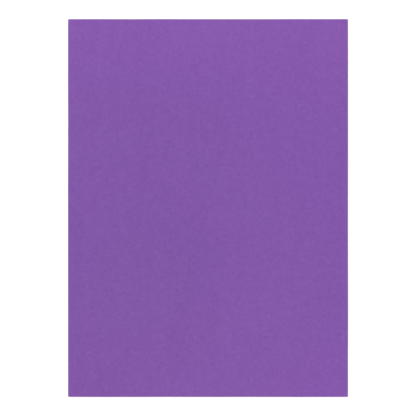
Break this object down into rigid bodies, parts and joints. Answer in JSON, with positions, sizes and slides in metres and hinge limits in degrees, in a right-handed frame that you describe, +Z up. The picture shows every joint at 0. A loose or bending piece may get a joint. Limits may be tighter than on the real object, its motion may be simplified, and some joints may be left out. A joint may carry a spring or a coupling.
{
  "type": "craft foam sheet",
  "caption": "Flat rectangular sheet of soft matt purple craft foam, thin and even, with square corners and clean cut edges.",
  "frame": {"origin": "centre of the sheet's underside, on the floor that it lies on", "axes": "+Z up out of the top face, +Y along the sheet's length (up in the picture), +X across its width (right in the picture)"},
  "size_m": [0.226, 0.305, 0.002],
  "materials": {
    "foam": "matt closed-cell foam, purple all through, with a fine even grain and a soft, slightly velvety surface"
  },
  "bodies": {
    "root": {"foam_sheet": "foam"}
  },
  "joints": []
}
